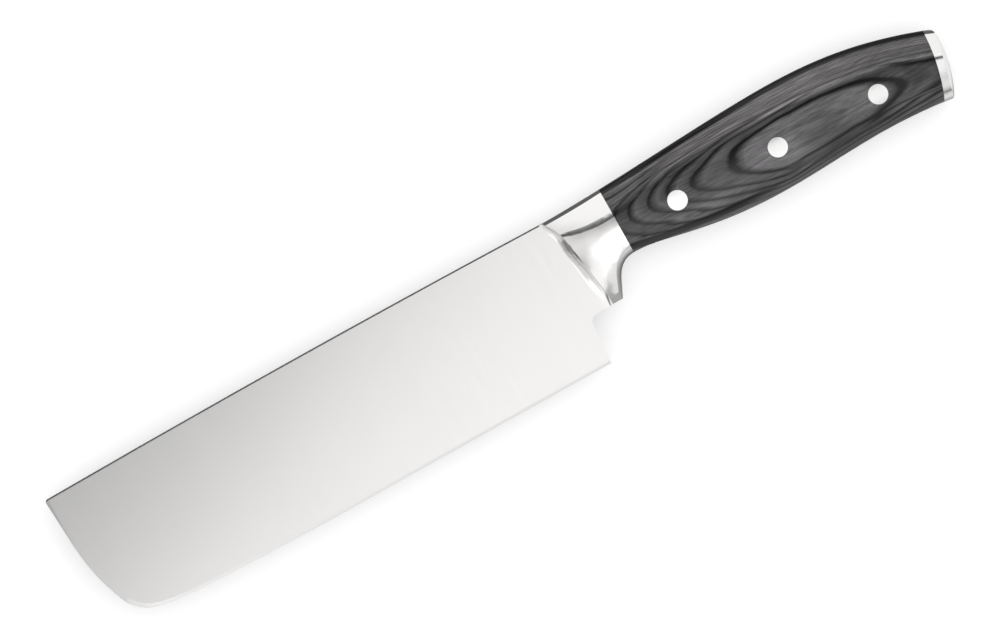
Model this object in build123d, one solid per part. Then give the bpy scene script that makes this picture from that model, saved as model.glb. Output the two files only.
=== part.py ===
from build123d import *
import os

# A square-nosed vegetable knife lying on its side. X runs from the tip to the butt, Y from the cutting
# edge to the spine, and Z out of the broad side that lies upwards. Sizes are in millimetres.
# Points are placed from the spine's corner at the tip, in the blade's middle plane, and the finished
# pieces are shifted together at the end. The shares are parts of the sizes named beside them.

# Blade: one flat taper from spine to edge, then a narrow cutting bevel
blade_length = 180.0
blade_height = 49.2
spine_thickness = 2.2
edge_thickness = 0.4
bevel_height = 0.9
edge_flat = 0.02
blade_crown = 1.4
blade_crown_reach = 1.3
spine_tip_rise = 0.3
spine_bow_rise = 1.0
tip_round = 1.0
nose_rake = 0.7
nose_flat = 17.0
nose_turn = 0.35
nose_setback = 6.1
nose_height = 40.0
heel_setback = 2.9
choil_setback = 1.9
choil_drop = 0.4
choil_round = 2.5
# Cutting edge: along blade_length, down blade_height
edge_shares = [(0.61, 1.0), (0.36, 0.998), (0.19, 0.982), (0.089, 0.949), (0.056, 0.902)]

# Bolster, forged with the blade
bolster_length = 20.3
guard_height = 33.1
# Its sharp front ridge: along bolster_length, up guard_height, then the cove's share of cove_radius
ridge_shares = [
    (-0.07, 0.04, 0.4),
    (0.005, -0.04, 0.52),
    (0.103, -0.14, 0.8),
    (0.153, -0.218, 0.96),
    (0.172, -0.341, 1.0),
    (0.217, -0.486, 0.9),
    (0.261, -0.64, 0.7),
    (0.3, -0.795, 0.52),
    (0.32, -0.9, 0.38),
    (0.32, -1.06, 0.24),
]
cove_radius = 2.7
cove_root = 0.6
cove_bite = 0.02
# The blade's plate inside the bolster: along bolster_length, up guard_height
root_shares = [(0.32, -1.0), (0.4, -0.93), (0.37, -0.2), (0.02, 0.003)]

# Handle
handle_length = 117.2
handle_height = 32.0
handle_half_width = 10.5
dome_radius = 40.0
bolster_dome_radius = 200.0
crease_round = 5.0
spine_crown = 6.0
spine_crown_reach = 5.2
crown_margin = 0.8
belly_crown = 10.5
belly_crown_reach = 9.6
# Ground sections: along handle_length, then spine, crease and dome up handle_height, then the half
# widths at the dome and at the uncrowned spine as shares of handle_half_width
section_shares = [
    (-0.21, 0.002, -0.08, -0.4, 0.38, 0.30),
    (-0.1, 0.008, -0.242, -0.38, 0.6, 0.30),
    (0.0, 0.022, -0.253, -0.36, 0.745, 0.275),
    (0.2, 0.062, -0.158, -0.375, 0.92, 0.21),
    (0.4, 0.101, -0.156, -0.455, 0.995, 0.225),
    (0.58, 0.11, -0.185, -0.485, 1.0, 0.25),
    (0.76, 0.045, -0.257, -0.5, 0.955, 0.265),
    (0.89, -0.069, -0.368, -0.54, 0.91, 0.27),
    (1.02, -0.235, -0.52, -0.58, 0.86, 0.28),
]
# Belly: along handle_length, up handle_height
belly_shares = [
    (1.03, -0.95),
    (0.91, -0.88),
    (0.74, -0.85),
    (0.45, -0.888),
    (0.27, -0.85),
    (0.13, -0.758),
    (0.02, -0.69),
]
# Finger notch behind the guard: along bolster_length, up guard_height
notch_shares = [(0.83, -0.69), (0.7, -0.76), (0.6, -0.872), (0.515, -0.985), (0.47, -1.06)]
# Facet under the guard's rear corner: along bolster_length, up guard_height, out handle_half_width
facet_shares = [(0.32, -0.98, 0.48), (0.488, -0.918, 0.5), (0.502, -1.0, 0.24)]

# End cap, along handle_length and up handle_height: the arc of its seat and the arc of its end, then
# the end's two corners, each an arc with a straight run to a point clear of the handle
seat_shares = [(0.971, 0.1), (0.9625, -0.47), (0.92, -0.98)]
end_shares = [(0.98, 0.094), (0.996, -0.478), (0.931, -1.062)]
top_corner_shares = [(0.955, -0.1), (0.979, -0.18), (0.992, -0.202), (0.9988, -0.247)]
low_corner_shares = [(0.9674, -0.841), (0.9625, -0.878), (0.949, -0.908), (0.925, -0.99)]
end_crown = 30.0
end_crown_reach = 10.4
tongue_length = 1.8
tongue_height = 9.0
tongue_root = 6.0
tongue_fit = 0.05

# Tang, full height between the scales
tang_thickness = 2.5

# Two-piece rivets
rivet_count = 3
first_rivet_setback = 20.0
last_rivet_setback = 25.6
first_rivet_drop = 14.4
last_rivet_drop = 16.1
rivet_head_diameter = 6.8
rivet_seat = 7.0
sleeve_diameter = 5.0
stud_diameter = 3.0
stud_gap = 1.0
rivet_fit = 0.04

# All cuts run past what they cut
overrun = 3.0

joint_x = blade_length + bolster_length
far = 2 * handle_height


def blade_half(y):
    """Half thickness of the flat-ground blade at a height."""
    return (spine_thickness + (edge_thickness - spine_thickness) * -y / blade_height) / 2


def bolster_point(along, up):
    return Vector(blade_length + bolster_length * along, guard_height * up)


def handle_point(along, up):
    return Vector(joint_x + handle_length * along, handle_height * up)


def section_plane(x):
    """Plane across the knife, with its X up the height and its Y through the thickness."""
    return Plane(origin=(x, 0, 0), x_dir=(0, 1, 0), z_dir=(1, 0, 0))


def beyond(line, way):
    """Thick plate that covers everything on one side of a line."""
    start, end = line @ 0, line @ 1
    step = Vector(*way) * far
    rest = Polyline(end, end + step, start + step, start)
    return extrude(make_face([*line.edges(), *rest.edges()]), far, both=True)


def swept_cutter(path, lines):
    """Cutter along a path with the material on its right. X of the profile points away from it."""
    along = path % 0
    place = Plane(origin=path @ 0, x_dir=along.cross(Vector(0, 0, -1)), z_dir=along)
    return sweep(place * make_face(lines), path=path)


def crown_cutter(path, radius, reach):
    """Leaves an edge that is crowned across its thickness."""
    fall = radius - (radius**2 - reach**2) ** 0.5
    corners = Polyline((-fall, reach), (overrun, reach), (overrun, -reach), (-fall, -reach))
    return swept_cutter(path, [*corners.edges(), ThreePointArc((-fall, -reach), (0, 0), (-fall, reach))])


def bevel_cutter(edge, side):
    """Leaves the cutting bevel on one side of the edge."""
    flat, shoulder = edge_flat / 2, edge_thickness / 2
    slope = (shoulder - flat) / bevel_height
    reach = 2 * bevel_height
    corners = [
        (0, side * flat),
        (-reach, side * (flat + slope * reach)),
        (-reach, side * spine_thickness),
        (overrun, side * spine_thickness),
        (overrun, side * flat),
    ]
    return swept_cutter(edge, Polyline(*corners, close=True).edges())


def blade_outline():
    """Side view of the blade and its root in the bolster, then its edge and its spine by themselves."""
    tip = Vector(-nose_rake, spine_tip_rise)
    turn = Vector(nose_turn, -nose_flat)
    choil = Vector(blade_length - choil_setback, -guard_height - choil_drop)
    heel = Vector(blade_length - heel_setback, -blade_height)
    root = [bolster_point(*shares) for shares in root_shares]
    nose = TangentArc(turn, (nose_setback, -nose_height), tangent=turn - tip)
    points = [(blade_length * along, -blade_height * down) for along, down in edge_shares]
    edge = Spline(heel, *points, nose @ 1, tangents=[(-1, 0), (nose % 1) * -1])
    spine = ThreePointArc(tip, (blade_length / 2, spine_bow_rise), root[-1])
    back = Polyline(heel, choil, *root)
    outline = make_face([Line(tip, nose @ 0), nose, edge, *back.edges(), spine])
    outline = fillet(outline.vertices().sort_by_distance(tip)[0], tip_round)
    outline = fillet(outline.vertices().sort_by_distance(choil)[0], choil_round)
    return outline, edge, spine


def ground_blade():
    """The flat-ground blade with a rounded spine and a bevelled edge."""
    outline, edge, spine = blade_outline()
    top, bottom = overrun, -blade_height - overrun
    taper = Polyline(
        (top, blade_half(top)), (bottom, blade_half(bottom)),
        (bottom, -blade_half(bottom)), (top, -blade_half(top)), close=True,
    )
    wedge = extrude(section_plane(-overrun) * make_face(taper), joint_x + overrun)
    blade = extrude(outline, spine_thickness, both=True) & wedge
    blade -= crown_cutter(spine, blade_crown, blade_crown_reach)
    return blade - [bevel_cutter(edge, side) for side in (1, -1)]


def handle_section(along, spine, crease, dome, dome_width, spine_width):
    """Cross-section of the ground handle, before its spine and belly are crowned."""
    radius = bolster_dome_radius if along < 0 else dome_radius
    spine_y, crease_y, dome_y = (handle_height * share for share in (spine, crease, dome))
    low_y = -guard_height - overrun
    dome_z = handle_half_width * dome_width

    def side_point(y):
        return Vector(y, dome_z - radius + (radius**2 - (y - dome_y) ** 2) ** 0.5)

    crease_point = side_point(crease_y)
    spine_point = Vector(spine_y, handle_half_width * spine_width)
    top_point = spine_point + (spine_point - crease_point).normalized() * crown_margin
    front = [top_point, crease_point, side_point((crease_y + low_y) / 2), side_point(low_y)]
    back = [Vector(point.X, -point.Y) for point in front]
    face = make_face([
        Line(front[0], front[1]), ThreePointArc(*front[1:]), Line(front[3], back[3]),
        ThreePointArc(*back[:0:-1]), Line(back[1], back[0]), Line(back[0], front[0]),
    ])
    creases = [face.vertices().sort_by_distance(point)[0] for point in (crease_point, back[1])]
    return section_plane(joint_x + handle_length * along) * fillet(creases, crease_round)


def cove(ridge):
    """Ground fillet from the blade's face up to the bolster's front wall, narrower towards the guard."""
    sections = []
    for along, up, share in ridge_shares:
        radius = cove_radius * share
        foot = bolster_point(along, up)
        to_blade = Vector(0, 0, -1).cross(ridge % ridge.param_at_point(foot))
        origin = Vector(foot.X, foot.Y, blade_half(foot.Y))
        place = Plane(origin=origin, x_dir=to_blade, z_dir=to_blade.cross(Vector(0, 0, 1)))
        toe, wall = (radius, -cove_bite), (-cove_bite, radius)
        middle = radius - (radius + cove_bite) / 2**0.5
        rest = Polyline(wall, (-cove_root, radius), (-cove_root, -cove_root), (radius, -cove_root), toe)
        sections.append(place * make_face([ThreePointArc(toe, (middle, middle), wall), *rest.edges()]))
    return loft(sections)


def guard_facet(side):
    """Block above the small facet that is ground under the guard's rear corner."""
    corners = [
        bolster_point(along, up) + Vector(0, 0, side * handle_half_width * out)
        for along, up, out in facet_shares
    ]
    normal = (corners[2] - corners[0]).cross(corners[1] - corners[0]) * side
    size = bolster_length / 2
    return Plane(origin=corners[1], z_dir=normal) * Pos(0, 0, size / 2) * Box(size, size, size)


def ground_form():
    """Bolster, handle and cap as one ground and crowned form, with the coves at its front."""
    form = loft([handle_section(*shares) for shares in section_shares])
    ridge = Spline(*[bolster_point(along, up) for along, up, _ in ridge_shares])
    front_cove = cove(ridge)
    form = form - beyond(ridge, (-1, 0)) + [front_cove, mirror(front_cove, Plane.XY)]
    spine = Spline(*[handle_point(*shares[:2]) for shares in section_shares])
    notch = [bolster_point(*shares) for shares in notch_shares]
    belly = Spline(*[handle_point(*shares) for shares in belly_shares], *notch)
    waste = Pos(overrun / 4, -overrun * 2 / 5) * belly
    form = form - crown_cutter(spine, spine_crown, spine_crown_reach) - beyond(waste, (0, -1))
    form -= crown_cutter(belly, belly_crown, belly_crown_reach)
    under = Line((0, -guard_height), (joint_x, -guard_height))
    form -= [beyond(under, (0, -1)), guard_facet(1), guard_facet(-1)]
    return ground_end(form)


def ground_end(form):
    """Crowns the butt across the thickness and rounds its corners in side view."""
    end = ThreePointArc(*[handle_point(*shares) for shares in end_shares])
    form -= beyond(Pos(overrun / 2, 0) * end, (1, 0))
    form -= crown_cutter(end, end_crown, end_crown_reach)
    top, low = (
        [handle_point(*shares) for shares in table] for table in (top_corner_shares, low_corner_shares)
    )
    top_corner = Wire([Line(*top[:2]), ThreePointArc(*top[1:])])
    low_corner = Wire([ThreePointArc(*low[:3]), Line(*low[2:])])
    return form - [beyond(top_corner, (1, 0)), beyond(low_corner, (1, 0))]


def tongue(seat, fit=0.0):
    """End of the tang that stands in the cap's slot."""
    middle = seat @ 0.5
    length = tongue_root + tongue_length + fit
    centre = middle.X + tongue_length + fit - length / 2
    return Pos(centre, middle.Y, 0) * Box(length, tongue_height + 2 * fit, tang_thickness + 2 * fit)


def rivet_places():
    """Rivets in a row, the first behind the bolster and the last before the cap."""
    first = Vector(joint_x + first_rivet_setback, -first_rivet_drop)
    last = Vector(joint_x + handle_length - last_rivet_setback, -last_rivet_drop)
    steps = rivet_count - 1
    places = [first + (last - first) * (index / steps) for index in range(rivet_count)]
    return [(place.X, place.Y) for place in places]


def pin(x, y, diameter, low, high):
    return Pos(x, y, (low + high) / 2) * Cylinder(diameter / 2, high - low)


def rivet_bore(x, y):
    """Through hole for the sleeve with a counterbore for the head on each side."""
    head = rivet_head_diameter + 2 * rivet_fit
    shank = sleeve_diameter + 2 * rivet_fit
    return [
        pin(x, y, shank, -far, far),
        pin(x, y, head, rivet_seat, far),
        pin(x, y, head, -far, -rivet_seat),
    ]


def rivet(form, x, y):
    """Sleeve from the upper side and stud from the lower side, their heads ground flush."""
    bore_top = rivet_seat - stud_gap
    sleeve = pin(x, y, rivet_head_diameter, rivet_seat, far) & form
    sleeve += pin(x, y, sleeve_diameter, -bore_top, rivet_seat)
    sleeve -= pin(x, y, stud_diameter + 2 * rivet_fit, -far, bore_top)
    stud = pin(x, y, rivet_head_diameter, -far, -rivet_seat) & form
    stud += pin(x, y, stud_diameter, -rivet_seat, bore_top - stud_gap)
    return sleeve, stud


def build():
    form = ground_form()
    seat = ThreePointArc(*[handle_point(*shares) for shares in seat_shares])
    behind_seat = beyond(seat, (1, 0))
    bores = [cut for place in rivet_places() for cut in rivet_bore(*place)]
    tang_half = tang_thickness / 2
    side_block = Pos(joint_x + far * 2, 0, tang_half + far / 2) * Box(4 * far, 4 * far, far)

    handle = form - behind_seat
    scale_front = (handle & side_block) - bores
    forging = handle - [side_block, mirror(side_block, Plane.XY)] + tongue(seat) - bores
    forging += ground_blade()
    cap = (form & behind_seat) - tongue(seat, tongue_fit)

    scale_back = mirror(scale_front, Plane.XY)
    pieces = {"blade": forging, "scale_front": scale_front, "scale_back": scale_back, "end_cap": cap}
    for index, place in enumerate(rivet_places(), start=1):
        sleeve, stud = rivet(form, *place)
        pieces[f"rivet_sleeve_{index}"] = sleeve
        pieces[f"rivet_stud_{index}"] = stud
    return pieces


def standing_shift(pieces):
    """Move that puts the middle of the knife's underside at the origin."""
    boxes = [piece.bounding_box() for piece in pieces]
    low_x, high_x = min(box.min.X for box in boxes), max(box.max.X for box in boxes)
    low_y, high_y = min(box.min.Y for box in boxes), max(box.max.Y for box in boxes)
    return Pos(-(low_x + high_x) / 2, -(low_y + high_y) / 2, -min(box.min.Z for box in boxes))


def main():
    pieces = build()
    shift = standing_shift(pieces.values())
    os.makedirs("parts", exist_ok=True)
    for name, piece in pieces.items():
        export_step(shift * piece, f"parts/{name}.step")


main()
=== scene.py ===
import math

import bmesh
import bpy
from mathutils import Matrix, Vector


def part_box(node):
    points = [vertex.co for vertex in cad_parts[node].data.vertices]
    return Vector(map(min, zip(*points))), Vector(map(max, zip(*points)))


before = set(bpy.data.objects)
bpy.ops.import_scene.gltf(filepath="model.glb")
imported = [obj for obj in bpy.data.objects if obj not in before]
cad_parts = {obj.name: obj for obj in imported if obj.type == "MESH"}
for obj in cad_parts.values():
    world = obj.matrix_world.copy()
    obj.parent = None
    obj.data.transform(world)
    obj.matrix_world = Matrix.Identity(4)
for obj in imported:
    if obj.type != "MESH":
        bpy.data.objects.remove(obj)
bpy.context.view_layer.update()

# The knife's own frame, in millimetres: along from the tip, up from the spine's corner there and
# out from the tang's middle
MM = 0.001
nose_reach, tip_height = 0.636, 49.248
tip_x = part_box("blade")[0][0] + nose_reach * MM
tang_z = (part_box("rivet_stud_2")[0][2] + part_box("rivet_sleeve_2")[1][2]) / 2
spine_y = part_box("blade")[0][1] + tip_height * MM

# Veneers of the handle's wood, in millimetres from the tang's middle: the span that is tabled,
# then for each glue line its depth and tone, the tones outside and inside it and how far inside it
# fades
veneer_depths = (5.5, 11.5)
veneer_joints = [
    (6.3, 0.025, 0.12, 0.12, 0.15),
    (6.95, 0.015, 0.1, 0.1, 0.15),
    (7.65, 0.006, 0.075, 0.065, 0.2),
    (8.25, 0.006, 0.05, 0.1, 0.22),
    (8.85, 0.006, 0.06, 0.1, 0.25),
    (9.35, 0.005, 0.045, 0.12, 0.2),
    (9.8, 0.005, 0.07, 0.1, 0.2),
    (10.33, 0.005, 0.07, 0.14, 0.2),
]
# Where a glue line starts to darken, is full and ends, from its depth. The outermost line is wider
glue_marks = (-0.07, -0.02, 0.03)
wide_from, wider_by = 10, 1.35
# Paler patches beside the rivets: middle along and up, length, breadth and gain of each
pale_patches = [(231, -20.6, 7, 2.2, 0.35), (257, -17, 7, 4.5, 0.25), (298, -14.5, 6, 4, 0.2)]

# Dull and bright tones that cloud each steel, the greys of the painted shade along the nose's edge
# and round the rivets' rims, of wood without glue lines and of the floor, and the tints of the
# scales' faces and flanks
blade_tones = (0.82, 0.81, 0.805), (0.86, 0.85, 0.845)
polished_tones = (0.82, 0.815, 0.81), (0.87, 0.865, 0.86)
nose_shade_grey, rim_shade_grey, wood_grey, floor_grey = (0.3,) * 3, (0.16,) * 3, (0.1,) * 3, (0.8,) * 3
face_tint, flank_tint = (1.0, 0.97, 1.0), (1.0, 0.965, 0.96)
white = (1, 1, 1)
# Relief in millimetres: of the buffed crease, the blended cove, the blade's grinding, the polishing
# lines and the wood's grain
crease_relief, cove_relief, grinding_relief = -0.11, 0.48, 0.0015
polish_relief, grain_relief = 0.001, 0.012
# Painted shade on the rim of a rivet's head, which also draws its dark joint with the wood: where
# it starts, is full, fades and ends, from the head's radius
rim_shade_marks = (-0.28, -0.12, 0.3, 0.5)


def place(along, up):
    """Point beside the tang's middle, given in millimetres in the knife's own frame."""
    return Vector((tip_x + along * MM, spine_y + up * MM, tang_z))


class Value:
    """A node's output that can be used in plain sums."""

    def __init__(self, tree, socket):
        self.tree, self.socket = tree, socket

    def maths(self, operation, *others, first=None):
        node = self.tree.nodes.new("ShaderNodeMath")
        node.operation = operation
        terms = (self, *others) if first is None else (first, self)
        for slot, term in zip(node.inputs, terms):
            if isinstance(term, Value):
                self.tree.links.new(term.socket, slot)
            else:
                slot.default_value = term
        return Value(self.tree, node.outputs[0])

    def __add__(self, other):
        return self.maths("ADD", other)

    def __radd__(self, other):
        return self.maths("ADD", first=other)

    def __sub__(self, other):
        return self.maths("SUBTRACT", other)

    def __rsub__(self, other):
        return self.maths("SUBTRACT", first=other)

    def __mul__(self, other):
        return self.maths("MULTIPLY", other)

    def __rmul__(self, other):
        return self.maths("MULTIPLY", first=other)

    def __truediv__(self, other):
        return self.maths("DIVIDE", other)

    def __rtruediv__(self, other):
        return self.maths("DIVIDE", first=other)

    def __pow__(self, other):
        return self.maths("POWER", other)

    def __abs__(self):
        return self.maths("ABSOLUTE")

    def least(self, other):
        return self.maths("MINIMUM", other)

    def most(self, other):
        return self.maths("MAXIMUM", other)

    def rise(self, low, high):
        """0 below low, 1 above high, smooth between them."""
        node = self.tree.nodes.new("ShaderNodeMapRange")
        node.interpolation_type = "SMOOTHSTEP"
        self.tree.links.new(self.socket, node.inputs[0])
        node.inputs[1].default_value, node.inputs[2].default_value = low, high
        return Value(self.tree, node.outputs[0])

    def fall(self, low, high):
        """1 below low, 0 above high, smooth between them."""
        return 1 - self.rise(low, high)

    def band(self, low, full, fading, gone):
        """Rises from low to full and falls again from fading to gone."""
        return self.rise(low, full) * self.fall(fading, gone)

    def bell(self, sharpness):
        """1 at nought, falling off smoothly on both sides of it."""
        return (self ** 2 * -sharpness).maths("EXPONENT")

    def bow(self, turn, bend, side="both"):
        """Parabola from its turning point, on one side of it or on both."""
        off = self - turn
        if side == "ahead":
            off = off.least(0)
        elif side == "behind":
            off = off.most(0)
        return off ** 2 * bend


class Finish:
    """The nodes of one material or of the world."""

    def __init__(self, owner):
        self.owner = owner
        owner.use_nodes = True
        self.tree = owner.node_tree
        self.tree.nodes.clear()

    def add(self, kind, settings=None, inputs=None, output=0):
        """Any node: its type, its settings, then the values or links of its sockets."""
        node = self.tree.nodes.new("ShaderNode" + kind)
        for key, value in (settings or {}).items():
            if key == "stops":
                self.set_stops(node.color_ramp, value)
            else:
                setattr(node, key, value)
        for key, value in (inputs or {}).items():
            slot = node.inputs[key]
            if isinstance(value, Value):
                self.tree.links.new(value.socket, slot)
            elif isinstance(value, tuple) and slot.type == "RGBA":
                slot.default_value = (*value, 1.0)
            else:
                slot.default_value = value
        return Value(self.tree, node.outputs[output]) if node.outputs else None

    def set_stops(self, ramp, stops):
        """Positions and colours of a ramp, in their order."""
        for _ in stops[2:]:
            ramp.elements.new(0.5)
        for element, (position, colour) in zip(ramp.elements, stops):
            element.position = position
            element.color = (*colour, 1.0)

    def blend(self, share, first, second):
        """Colour between two colours."""
        return self.add("Mix", {"data_type": "RGBA"}, {0: share, 6: first, 7: second}, 2)

    def where(self, origin=(0, 0, 0), scale=(1, 1, 1)):
        """Object coordinates from an origin, in metres times the scale."""
        point = self.add("TexCoord", output="Object")
        moved = self.add("VectorMath", {"operation": "SUBTRACT"}, {0: point, 1: tuple(origin)})
        return self.add("VectorMath", {"operation": "MULTIPLY"}, {0: moved, 1: scale})

    def own_frame(self):
        """Along, up and out in millimetres of the knife's own frame."""
        return self.split(self.where(place(0, 0), (1 / MM,) * 3))

    def split(self, vector):
        """The three parts of a vector."""
        return [self.add("SeparateXYZ", None, {0: vector}, axis) for axis in ("X", "Y", "Z")]

    def noise(self, scale, detail=2.0, roughness=0.5, point=None):
        """Soft noise, with its waves per metre along, up and out, or per unit of a given point."""
        sides = {0: point or self.where(), 1: scale}
        stretched = self.add("VectorMath", {"operation": "MULTIPLY"}, sides)
        return self.add("TexNoise", None, {
            "Vector": stretched, "Scale": 1.0, "Detail": detail, "Roughness": roughness,
        })

    def bump(self, height, distance):
        """Relief of a height times a distance in millimetres."""
        inputs = {"Height": height, "Distance": distance * MM, "Strength": 1.0}
        return self.add("Bump", None, inputs, "Normal")

    def rays(self):
        """Whether a polished surface sees this point, and whether the camera does."""
        return [self.add("LightPath", output=ray) for ray in ("Is Glossy Ray", "Is Camera Ray")]

    def surface(self, **inputs):
        """Ends a material in one Principled shader."""
        named = {key.replace("_", " "): value for key, value in inputs.items()}
        shader = self.add("BsdfPrincipled", None, named)
        self.add("OutputMaterial", None, {"Surface": shader})
        return self.owner


def blade_steel():
    """Satin steel of the blade, ground across it, that turns into the polished bolster."""
    steel = Finish(bpy.data.materials.new("satin_blade_steel"))
    along, up, _ = steel.own_frame()
    down = up * -1
    fine = steel.noise((5200, 60, 60))
    broad = steel.noise((700, 12, 12), 3.0)
    cloud = steel.noise((18, 18, 18))
    tone = steel.blend(cloud, *blade_tones)
    # The polish sets in before the bolster's slanting ridge
    bolster = (along + up * 0.12 - 182).rise(-3.5, 0)
    # The nose, which curves back towards the edge, gets a hair of painted shade along its outline,
    # standing in for its shaded edge wall
    nose = down.bow(17, 0.0113, "behind") + 0.1
    nose_edge_shade = (along - nose).fall(-0.2, 0.7) * 0.3
    # The crease between the bolster's flank and its broad side is buffed soft
    off_crease = up + 8.3 - along.bow(200, 0.006, "ahead")
    soft = off_crease.bell(0.16) * along.rise(179, 189)
    # The cove before the bolster's ridge is blended wider into the flat below its middle
    off_ridge = along + up * 0.125 - 182.24
    cove = off_ridge.band(-2.8, -0.1, 0, 0.35) * down.band(9, 18, 21, 32)
    grinding = (fine * 0.6 + broad * 0.4) * (1 - bolster * 0.8)
    relief = soft * crease_relief + cove * cove_relief + grinding * grinding_relief
    satin = 0.19 + fine * 0.05 + broad * 0.04
    buffed = 0.15 + soft * 0.08
    return steel.surface(
        Base_Color=steel.blend(nose_edge_shade, tone, nose_shade_grey), Metallic=1.0,
        Roughness=satin + bolster * (buffed - satin), Normal=steel.bump(relief, 1.0),
    )


def polished_steel():
    """Buffed steel with a trace of the polishing lines, on the cap and on the rivets' heads."""
    steel = Finish(bpy.data.materials.new("polished_cap_steel"))
    # The rim of each rivet's head gets painted shade, as if countersunk, which also reads as the
    # dark joint that it makes with the wood
    shaded_rims = []
    for number in (1, 2, 3):
        low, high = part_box(f"rivet_stud_{number}")
        middle = [(a + b) / 2 for a, b in zip(low, high)]
        radius = (high[0] - low[0]) / 2 / MM
        beside = steel.where(middle, (1 / MM, 1 / MM, 0))
        off_axis = steel.add("VectorMath", {"operation": "LENGTH"}, {0: beside}, 1)
        shaded_rims.append(off_axis.band(*[radius + mark for mark in rim_shade_marks]))
    lines = steel.noise((400, 400, 400))
    cloud = steel.noise((220, 220, 220))
    tone = steel.blend(cloud, *polished_tones)
    return steel.surface(
        Base_Color=steel.blend(sum(shaded_rims), tone, rim_shade_grey), Metallic=1.0,
        Roughness=0.15 + lines * 0.05 + cloud * 0.03,
        Normal=steel.bump(lines, polish_relief),
    )


def veneer_stops():
    """Tone of the veneers against depth: dark glue lines, each sharp on its outer side."""
    low, high = veneer_depths
    stops = []
    for depth, glue, outer, inner, fade in veneer_joints:
        width = wider_by if depth > wide_from else 1.0
        marks = [depth + mark * width for mark in glue_marks] + [depth + fade]
        for mark, tone in zip(marks, (outer, glue, glue, inner)):
            stops.append(((mark - low) / (high - low), (tone, tone, tone)))
    return stops


def handle_lines(along):
    """Heights of the handle's ridge and belly in side view, and how far out its dome stands."""
    ridge = along.bow(240, -0.0021, "ahead") - along.bow(240, 0.00136, "behind")
    ridge = ridge - along.bow(285, 0.0031, "behind") - 4.8
    belly = along.bow(256, 0.0019, "ahead") - 27.8
    dome = along.bow(262, -0.00065) + 10.5
    return ridge, belly, dome


def veneer_depth(wood, along, up, thickness, lines):
    """Depth of a point in the stack of veneers, which sag and swell on their way to the cap."""
    ridge, belly, dome = lines
    # Pressed round the belly, and less steep than the flank above the ridge
    pressed = (dome - 0.7 - thickness).most(0) * (up - belly).fall(5, 6.5) * 0.7
    eased = (up - ridge + 0.2).most(0) * 0.4
    # Swollen in the upper half, and sunk low down between the last two rivets
    swell = along.band(230, 244, 241, 258) * 0.33 + along.rise(262, 276) * 0.14
    swell = swell + along.rise(276, 302) * 0.24 - along.fall(212, 222) * 0.07
    sunk = along.band(254, 264, 279, 288) * (up * -1).rise(19, 22) * 0.24
    swell = swell * up.rise(-13.5, -6.5) - sunk
    sag = along.rise(238, 262) * 0.65
    wander = (wood.noise((25, 90, 90)) - 0.5) * 0.14
    return thickness + sag + pressed + eased + swell + wander


def wood_shade(along, up, thickness, lines):
    """Painted shade at the ridge and on the spine's rim, and the wood's own smoky, dark and pale
    places.
    """
    ridge, belly, _ = lines
    down, over_ridge, over_belly = up * -1, up - ridge, up - belly
    # Painted shade along the ridge, where the face turns into the flank; plain above it and well
    # below it
    shade = 0.55 + over_ridge.fall(-4, 0.5).most(over_ridge.rise(-0.5, 1)) * 0.45
    # A dark joint above the ridge, and a second one towards the cap
    off_joint = over_ridge - ((along - 226) * 0.05).least(2.1)
    joint = off_joint.bell(9) * along.rise(212, 222)
    second = (off_joint - 1.25).bell(12) * along.rise(275, 295)
    # A dark line just above the belly's front half, and painted shade on the rounded rim next to
    # the tang at the spine
    belly_line = over_belly.band(0.5, 1.1, 2.6, 3.2) * along.fall(236, 254)
    spine_rim_shade = thickness.fall(3.8, 4.3) * over_belly.rise(8, 10)
    # Smoke between the last two rivets, dark wood behind and below the innermost veneer
    smoke = abs(along - 272).fall(3, 13) * abs(up + 17.5).fall(1, 6)
    behind_core = along.rise(301, 304) * up.rise(-20.5, -18.5) * over_ridge.fall(-0.5, 0.3)
    under_core = down.rise(17, 21) * along.band(262, 275, 290, 300)
    darker = [
        (joint, 0.6), (second, 0.4), (belly_line, 0.94), (spine_rim_shade, 0.9),
        (smoke, 0.3), (behind_core, 0.4), (under_core, 0.35),
    ]
    for patch, loss in darker:
        shade = shade * (1 - patch * loss)
    # Paler over the belly's front half, in the ply under the dark joint and beside the rivets
    lower_front = down.rise(17, 20) * along.fall(238, 250)
    pale_ply = over_ridge.rise(0.1, 0.5) * off_joint.fall(-0.7, -0.3) * along.rise(238, 252)
    paler = [(lower_front, 0.25), (pale_ply, 0.3)]
    for middle, height, length, breadth, gain in pale_patches:
        spread = ((along - middle) / length) ** 2 + ((up - height) / breadth) ** 2
        paler.append(((spread * -1).maths("EXPONENT"), gain))
    for patch, gain in paler:
        shade = shade * (1 + patch * gain)
    return shade


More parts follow.
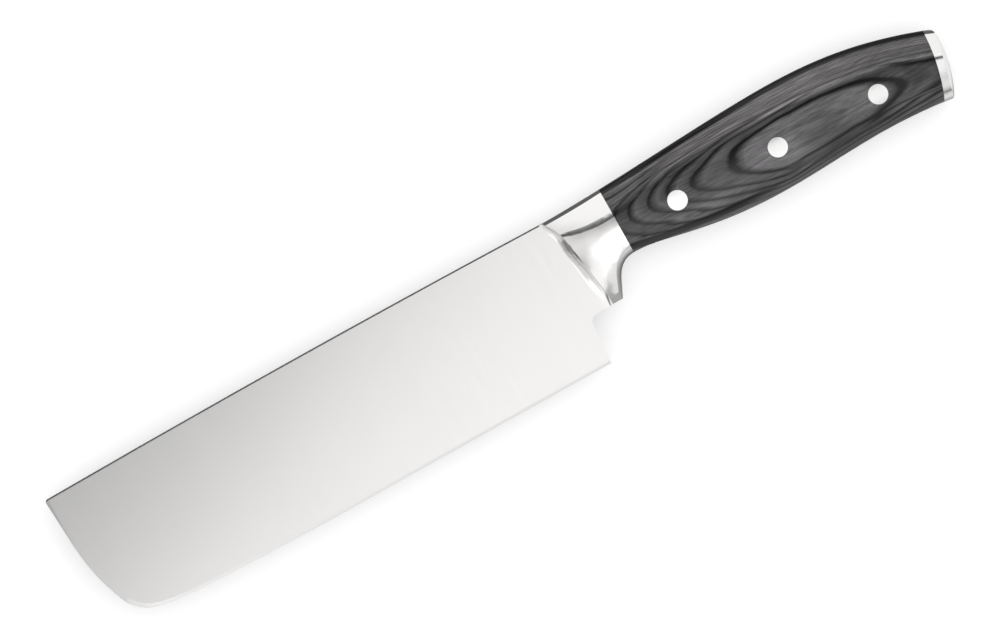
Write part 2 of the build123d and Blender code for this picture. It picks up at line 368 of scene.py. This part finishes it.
def layered_wood():
    """Dark resin-filled wood in thin veneers that lie along the tang and sag towards the cap."""
    wood = Finish(bpy.data.materials.new("layered_wood"))
    along, up, out = wood.own_frame()
    down, thickness = up * -1, abs(out)
    lines = handle_lines(along)
    over_ridge = up - lines[0]
    flank = over_ridge.rise(-0.5, 1)
    depth = veneer_depth(wood, along, up, thickness, lines)
    low, high = veneer_depths
    veneer = wood.add("ValToRGB", {"stops": veneer_stops()}, {0: (depth - low) / (high - low)})
    # Streaks that follow the veneers, short fibres, and on the flank hairlines and thin plies
    layers = wood.add("CombineXYZ", None, {0: depth * 3.6, 1: along * 0.015, 2: up * 0.02})
    grain = wood.noise((1, 1, 1), 3.0, 0.65, layers)
    streaks = grain.rise(0.38, 0.62) - 0.5
    fibre = wood.noise((120, 1300, 1300), 3.0, 0.65)
    level = {0: over_ridge * 2.6, 1: along * 0.012, 2: thickness * 0.1}
    hairlines = wood.noise((1, 1, 1), 2.0, 0.6, wood.add("CombineXYZ", None, level))
    plies = (over_ridge * 10.5 + hairlines * 9).maths("SINE") * 0.28
    lightness = 1.0 + streaks * (0.3 - flank * 0.1) + (fibre - 0.5) * 2.0
    lightness = lightness * (1.0 + flank * ((hairlines.rise(0.35, 0.6) - 0.5) * 0.7 + plies))
    # The flank catches most light along its middle
    lit_flank = flank * (along.rise(203, 235) * 0.62 - along.rise(265, 300) * 0.5)
    lightness = lightness.most(0.1) * (1.0 + lit_flank)
    # The wood's own darker and paler places, with painted shade at the ridge and the spine's rim
    lightness = lightness * wood_shade(along, up, thickness, lines)
    # Glue lines hardly show on the flank, and are fainter towards the belly
    even = over_ridge.rise(0.6, 1.6) * along.rise(210, 226) * 0.8
    faint = down.rise(11, 16) * along.fall(240, 260) * 0.22
    low_joints = down.band(21.8, 22.6, 25, 25.6) * along.band(252, 258, 282, 292) * 0.4
    softened = wood.blend(even.most(faint).most(low_joints), veneer, wood_grey)
    scaled = wood.add("VectorMath", {"operation": "SCALE"}, {0: softened, "Scale": lightness})
    tint = wood.blend(flank, face_tint, flank_tint)
    tone = wood.add("VectorMath", {"operation": "MULTIPLY"}, {0: scaled, 1: tint})
    return wood.surface(
        Base_Color=tone, Roughness=0.22 + fibre * 0.12, Specular_IOR_Level=0.32,
        Normal=wood.bump(fibre + grain * 0.5, grain_relief),
    )


def white_floor():
    """Pale floor. Polished steel sees it dark, but light on the edge's side and behind the cap."""
    floor = Finish(bpy.data.materials.new("white_floor"))
    along, up, _ = floor.split(floor.where())
    down = up * -1
    beside = (down.fall(0.06, 0.2) * 0.5).most(along.rise(0.14, 0.15) * 0.85)
    near = down.rise(-0.005, 0.03) * beside * (1 + along.band(0.03, 0.05, 0.13, 0.14) * 0.4)
    behind = along.rise(0.155, 0.164) * up.fall(0.018, 0.03) * 0.9
    above = up.band(0.0, 0.02, 0.06, 0.1) * 0.09
    elsewhere, own_light = 0.04, 0.45
    glow = elsewhere + near.most(behind).most(above)
    glossy, camera = floor.rays()
    plain = floor.add("BsdfDiffuse", None, {"Color": floor_grey})
    lift = floor.add("Emission", None, {"Color": white, "Strength": own_light})
    seen = floor.add("AddShader", None, {0: plain, 1: lift})
    mirrored = floor.add("Emission", None, {"Color": glow, "Strength": 1.0})
    unseen = floor.add("MixShader", None, {0: glossy, 1: plain, 2: mirrored})
    shader = floor.add("MixShader", None, {0: camera, 1: unseen, 2: seen})
    floor.add("OutputMaterial", None, {"Surface": shader})
    return floor.owner


def flat_floor():
    """Flat floor that the knife lies on."""
    reach = 3.0
    bm = bmesh.new()
    bmesh.ops.create_grid(bm, x_segments=1, y_segments=1, size=reach)
    mesh = bpy.data.meshes.new("floor")
    bm.to_mesh(mesh)
    bm.free()
    floor = bpy.data.objects.new("floor", mesh)
    bpy.context.scene.collection.objects.link(floor)
    mesh.materials.append(white_floor())


def surroundings():
    """White room. Polished steel sees walls, panels and gaps in it."""
    world = Finish(bpy.data.worlds.new("studio"))
    bpy.context.scene.world = world.owner
    along, up, out = world.split(world.add("TexCoord", output="Generated"))
    # A dark gap above the spine's side, then a side panel lower down
    gap = up.rise(0.08, 0.22)
    panel = up.rise(0.5, 0.6) * out.rise(0.12, 0.22)
    # Light walls on the sides of the edge and of the nose, and a dark horizon
    behind_low = along.rise(-0.02, 0.2) * out.fall(0.3, 0.6)
    edge_wall = (up * -1).rise(0.1, 0.2) * (1 - behind_low) * out.rise(-0.05, 0.03)
    high_up = ((out - 0.1).most(0) / 0.9) ** 7
    nose_wall = (along * -1).rise(0.15, 0.3) * high_up * (1 - gap)
    zenith = (0.40 - gap * 0.33) * (0.2 + out.rise(0, 0.4) * 0.8)
    mirrored = zenith + panel * 1.05 + (edge_wall * 0.5).most(nose_wall * 0.79)
    # The room lights the knife evenly, and the camera sees it white
    even_light = 0.8
    glossy, camera = world.rays()
    strength = even_light + glossy * (mirrored - even_light) + camera * (1 - even_light)
    light = world.add("Background", None, {"Color": white, "Strength": strength})
    world.add("OutputWorld", None, {"Surface": light})


def overhead_panel():
    """Flat lamp over the knife, its near edge running slantwise over the tip."""
    slant = math.radians(23)
    lengthwise = Vector((math.cos(slant), math.sin(slant), 0))
    across = Vector((math.sin(slant), -math.cos(slant), 0))
    length, width, height, radiance = 0.9, 0.15, 0.5, 0.74
    past_tip, off_tip = 0.3, 0.055
    lamp = bpy.data.lights.new("overhead_panel", "AREA")
    lamp.shape, lamp.size, lamp.size_y = "RECTANGLE", length, width
    lamp.energy = radiance * math.pi * length * width
    panel = bpy.data.objects.new("overhead_panel", lamp)
    edge = place(0, 0) + across * off_tip
    panel.location = edge + lengthwise * past_tip + across * width / 2 + Vector((0, 0, height))
    panel.rotation_euler = (0, 0, slant)
    panel.visible_camera = False
    bpy.context.scene.collection.objects.link(panel)


def camera():
    """Straight above the broad side, rolled as the photograph is, with a long lens."""
    # The picture's middle and width in millimetres, its roll in degrees, the rest in metres
    middle_along, middle_up, picture_width, roll = 153.1, -19.8, 316.29, 29.2
    distance, farthest = 5.0, 20.0
    data = bpy.data.cameras.new("camera")
    data.sensor_width = 36.0
    data.lens = data.sensor_width * distance / (picture_width * MM)
    data.clip_end = farthest
    eye = bpy.data.objects.new("camera", data)
    eye.location = place(middle_along, middle_up) + Vector((0, 0, distance))
    eye.rotation_euler = (0, 0, -math.radians(roll))
    bpy.context.scene.collection.objects.link(eye)
    bpy.context.scene.camera = eye


satin, polish, wood = blade_steel(), polished_steel(), layered_wood()
for name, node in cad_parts.items():
    node.data.materials.clear()
    if name == "blade":
        node.data.materials.append(satin)
    elif name.startswith("scale"):
        node.data.materials.append(wood)
    else:
        node.data.materials.append(polish)
bpy.context.scene.view_settings.view_transform = "Standard"
flat_floor()
surroundings()
overhead_panel()
camera()
